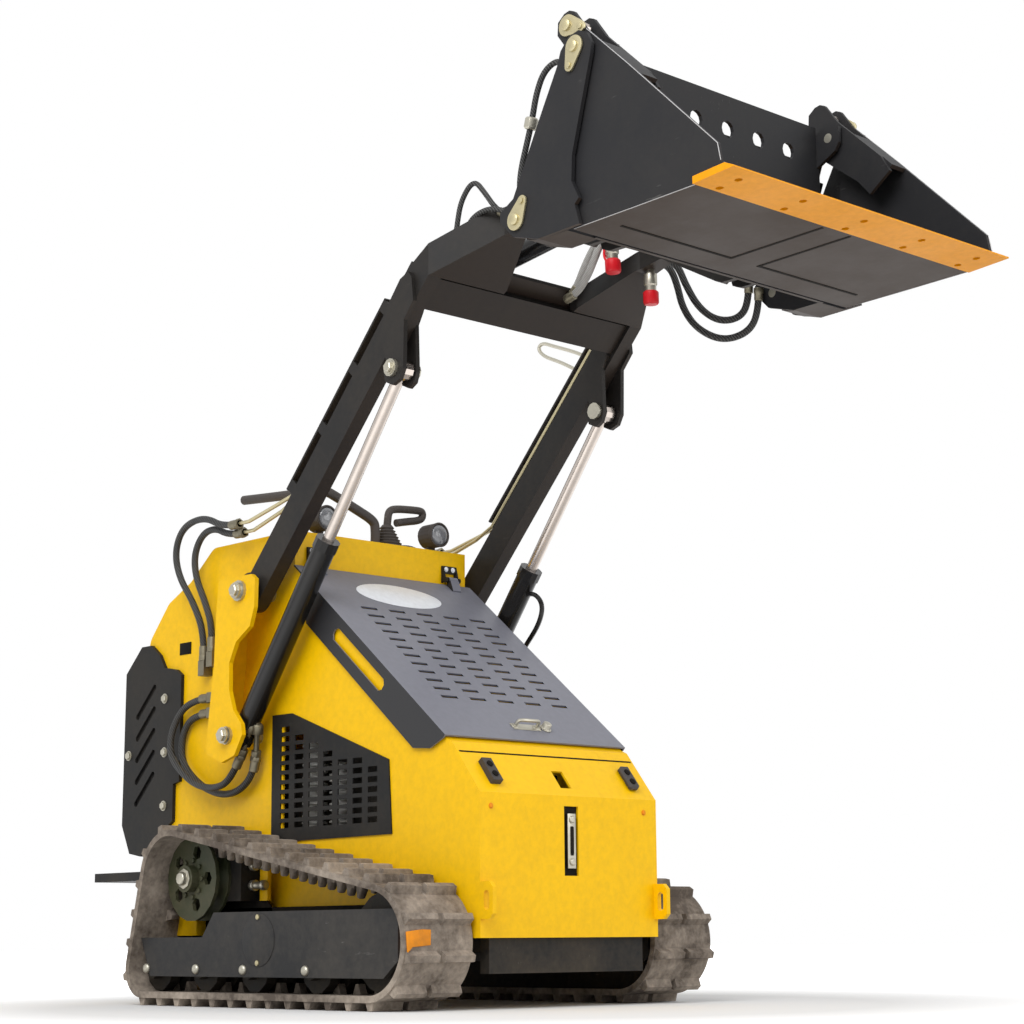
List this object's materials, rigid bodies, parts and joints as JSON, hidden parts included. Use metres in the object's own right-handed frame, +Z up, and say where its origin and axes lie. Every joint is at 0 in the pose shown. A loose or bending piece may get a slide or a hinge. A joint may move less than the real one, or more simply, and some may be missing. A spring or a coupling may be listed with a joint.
{
  "type": "compact track loader",
  "caption": "Compact stand-on track loader on rubber tracks, with raised lifting arms, a slotted engine hood and an opening clamshell bucket.",
  "frame": {"origin": "centre of the machine's length and width at ground level, under its tracks, arms raised and bucket level", "axes": "+X forward, towards the bucket; +Y to the machine's left; +Z up"},
  "size_m": [2.632, 0.994, 2.1662],
  "materials": {
    "yellow": "gloss",
    "black": "satin",
    "hood_grey": "satin",
    "rubber": "matte",
    "steel": "satin",
    "chrome": "polished",
    "cast": "matte",
    "orange": "satin",
    "engine": "matte",
    "soft_black": "matte"
  },
  "bodies": {
    "machine": {"base_pins": "steel", "body_shell": "yellow", "buffers": "rubber", "chassis": "black", "engine_block": "engine", "grilles": "black", "hand_rail": "soft_black", "hood_hinges": "black", "hose_lower_inner_left": "rubber", "hose_lower_inner_right": "rubber", "hose_lower_outer_left": "rubber", "hose_lower_outer_right": "rubber", "hose_ports": "steel", "hose_upper_front_left": "rubber", "hose_upper_front_right": "rubber", "hose_upper_rear_left": "rubber", "hose_upper_rear_right": "rubber", "lamps": "soft_black", "level_gauge": "steel", "lever": "soft_black", "platform": "black", "rear_guards": "black", "roller_frames": "black", "sprockets": "cast", "tie_downs": "yellow", "towers": "yellow", "track_left": "rubber", "track_right": "rubber", "wheels": "orange"},
    "arms": {"arm_frame": "black", "arm_lines": "steel", "arm_pins": "steel", "arm_strips": "black", "tilt_ears": "black"},
    "bucket": {"bucket_back": "black", "bucket_pins": "steel", "quick_attach": "black"},
    "clam": {"clam": "black", "cutting_edge": "yellow"},
    "clam_left_barrel": {"clam_left_barrel": "black"},
    "clam_left_rod": {"clam_left_rod": "chrome"},
    "clam_right_barrel": {"clam_right_barrel": "black"},
    "clam_right_rod": {"clam_right_rod": "chrome"},
    "hood": {"hood": "hood_grey", "hood_latch": "steel"},
    "lift_left_barrel": {"lift_left_barrel": "black"},
    "lift_left_rod": {"lift_left_rod": "chrome"},
    "lift_right_barrel": {"lift_right_barrel": "black"},
    "lift_right_rod": {"lift_right_rod": "chrome"},
    "tilt_barrel": {"tilt_barrel": "black"},
    "tilt_rod": {"tilt_rod": "chrome"}
  },
  "joints": [
    {"name": "lift", "type": "hinge", "parent": "machine", "child": "arms", "pos_m": [-0.452, 0, 1.032], "axis": [0, -1, 0], "range_deg": [-76, 0]},
    {"name": "tilt", "type": "hinge", "parent": "arms", "child": "bucket", "pos_m": [0.698, 0, 1.745], "axis": [0, -1, 0], "range_deg": [-40, 80]},
    {"name": "clam", "type": "hinge", "parent": "bucket", "child": "clam", "pos_m": [0.878, 0, 2.067], "axis": [0, -1, 0], "range_deg": [0, 70]},
    {"name": "hood", "type": "hinge", "parent": "machine", "child": "hood", "pos_m": [-0.34062, 0, 1.1086], "axis": [0, -1, 0], "range_deg": [0, 50]},
    {"name": "lift_left_swing", "type": "hinge", "parent": "machine", "child": "lift_left_barrel", "pos_m": [-0.497, 0.345, 0.667], "axis": [0, -1, 0], "range_deg": [-61.01, 0.2]},
    {"name": "lift_left_slide", "type": "slide", "parent": "lift_left_barrel", "child": "lift_left_rod", "axis": [0.5994, 0, 0.8005], "range_m": [-0.39744, 0.001]},
    {"name": "lift_right_swing", "type": "hinge", "parent": "machine", "child": "lift_right_barrel", "pos_m": [-0.497, -0.345, 0.667], "axis": [0, -1, 0], "range_deg": [-61.01, 0.2]},
    {"name": "lift_right_slide", "type": "slide", "parent": "lift_right_barrel", "child": "lift_right_rod", "axis": [0.5994, 0, 0.8005], "range_m": [-0.39744, 0.001]},
    {"name": "tilt_swing", "type": "hinge", "parent": "arms", "child": "tilt_barrel", "pos_m": [0.153, -0.092, 1.8], "axis": [0, -1, 0], "range_deg": [-4.2, 2.2]},
    {"name": "tilt_slide", "type": "slide", "parent": "tilt_barrel", "child": "tilt_rod", "axis": [0.9917, 0, 0.1282], "range_m": [-0.15613, 0.07856]},
    {"name": "clam_left_swing", "type": "hinge", "parent": "bucket", "child": "clam_left_barrel", "pos_m": [0.687, 0.43, 1.719], "axis": [0, -1, 0], "range_deg": [-0.2, 1.27]},
    {"name": "clam_left_slide", "type": "slide", "parent": "clam_left_barrel", "child": "clam_left_rod", "axis": [0.3501, 0, 0.9367], "range_m": [-0.08548, 0.001]},
    {"name": "clam_right_swing", "type": "hinge", "parent": "bucket", "child": "clam_right_barrel", "pos_m": [0.687, -0.43, 1.719], "axis": [0, -1, 0], "range_deg": [-0.2, 1.27]},
    {"name": "clam_right_slide", "type": "slide", "parent": "clam_right_barrel", "child": "clam_right_rod", "axis": [0.3501, 0, 0.9367], "range_m": [-0.08548, 0.001]}
  ],
  "couplings": [
    {"joint": "lift_left_swing", "follows": "lift", "ratio": 0.8001},
    {"joint": "lift_left_slide", "follows": "lift", "m_per_rad": 0.29887},
    {"joint": "lift_right_swing", "follows": "lift", "ratio": 0.8001},
    {"joint": "lift_right_slide", "follows": "lift", "m_per_rad": 0.29887},
    {"joint": "tilt_swing", "follows": "tilt", "ratio": -0.05},
    {"joint": "tilt_slide", "follows": "tilt", "m_per_rad": -0.1111},
    {"joint": "clam_left_swing", "follows": "clam", "ratio": 0.01523},
    {"joint": "clam_left_slide", "follows": "clam", "m_per_rad": -0.069151},
    {"joint": "clam_right_swing", "follows": "clam", "ratio": 0.01523},
    {"joint": "clam_right_slide", "follows": "clam", "m_per_rad": -0.069151}
  ]
}
